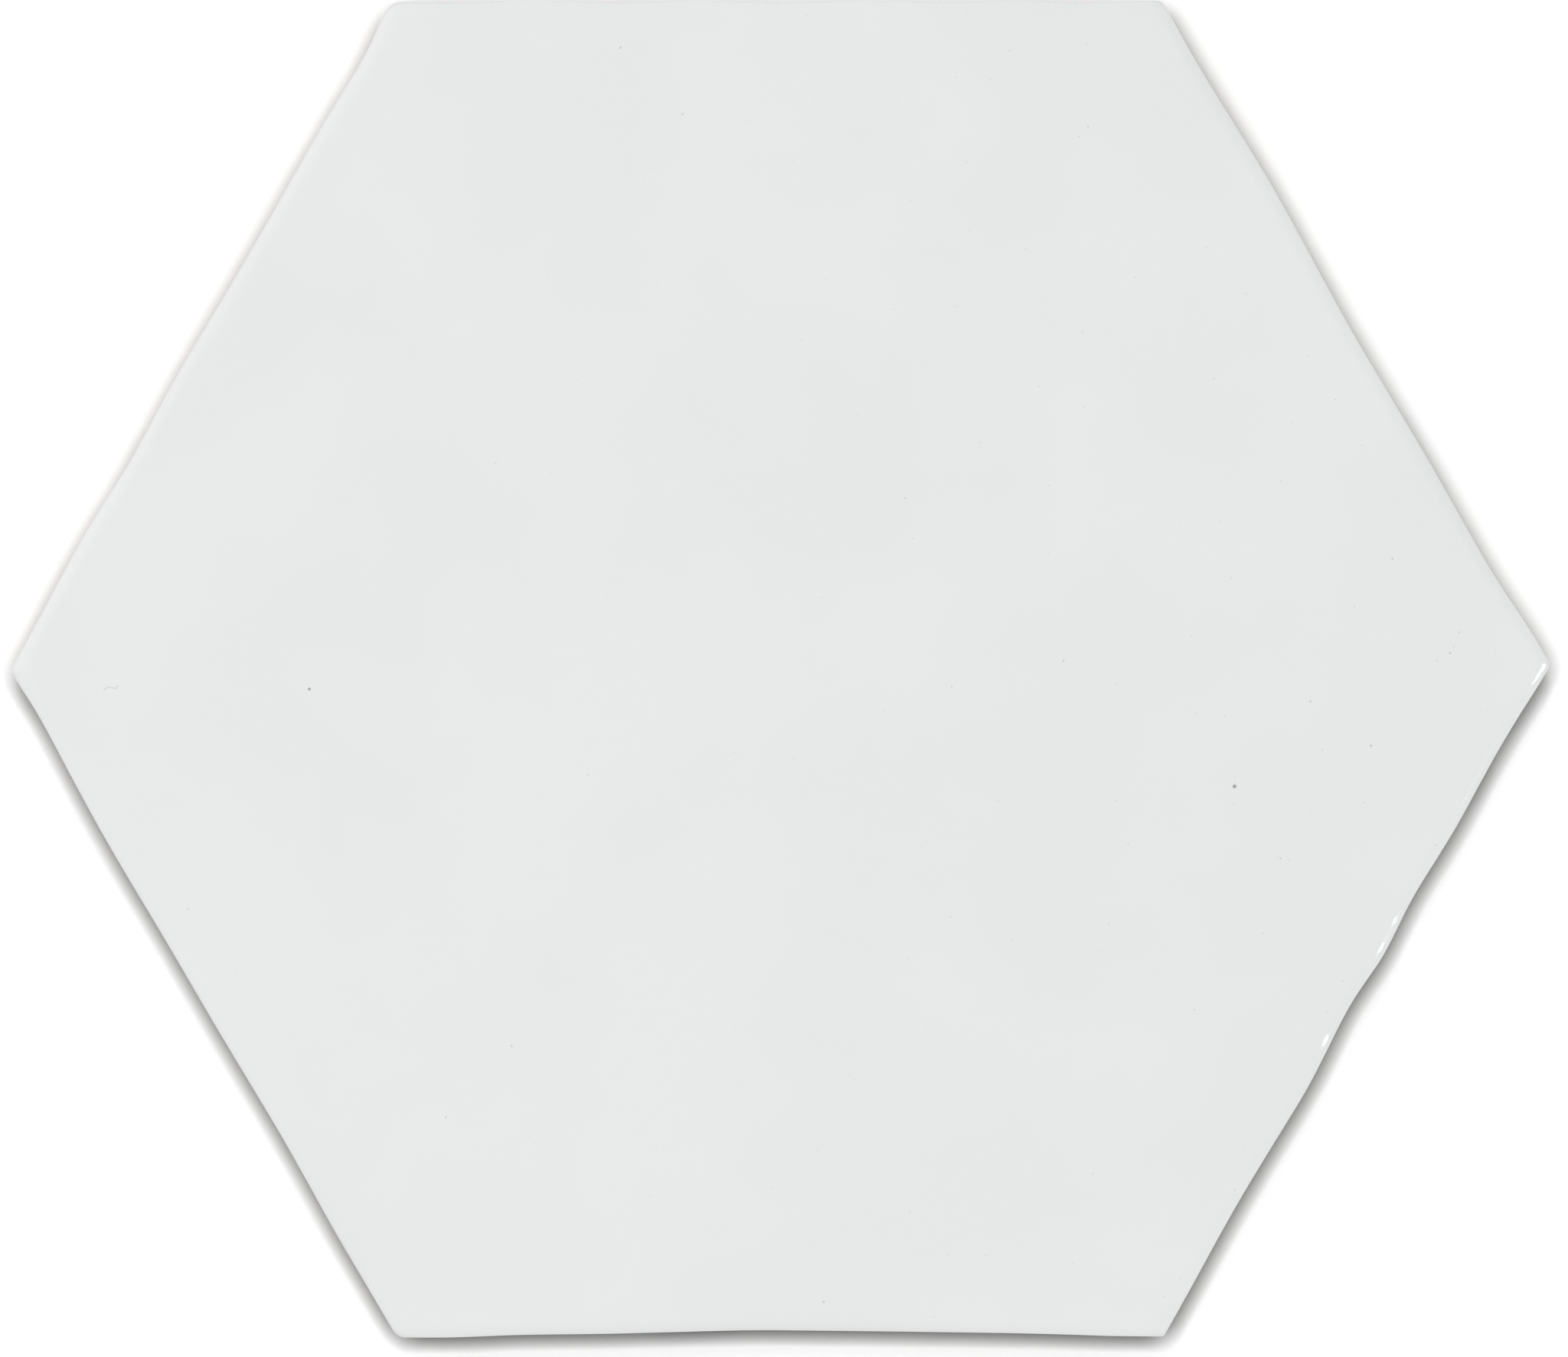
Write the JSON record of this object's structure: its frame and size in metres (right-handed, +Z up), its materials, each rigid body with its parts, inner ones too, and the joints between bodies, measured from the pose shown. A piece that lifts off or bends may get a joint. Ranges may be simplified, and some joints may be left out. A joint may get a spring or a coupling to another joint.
{
  "type": "hexagon floor tile",
  "caption": "Glazed ceramic hexagon floor tile with softly wandering sides, a rounded glaze rim, a flat glossy face and a honeycomb-keyed back.",
  "frame": {"origin": "middle of the tile's footprint, on the plane that its back rests on", "axes": "+Z up out of the glazed face; +X towards the corner at the picture's right; +Y square to the flat side at the picture's top"},
  "size_m": [0.201, 0.1748, 0.009],
  "materials": {
    "white_glaze": "glossy white glaze over a pressed ceramic body, bare at the back"
  },
  "bodies": {
    "root": {"hexagon_tile": "white_glaze"}
  },
  "joints": []
}
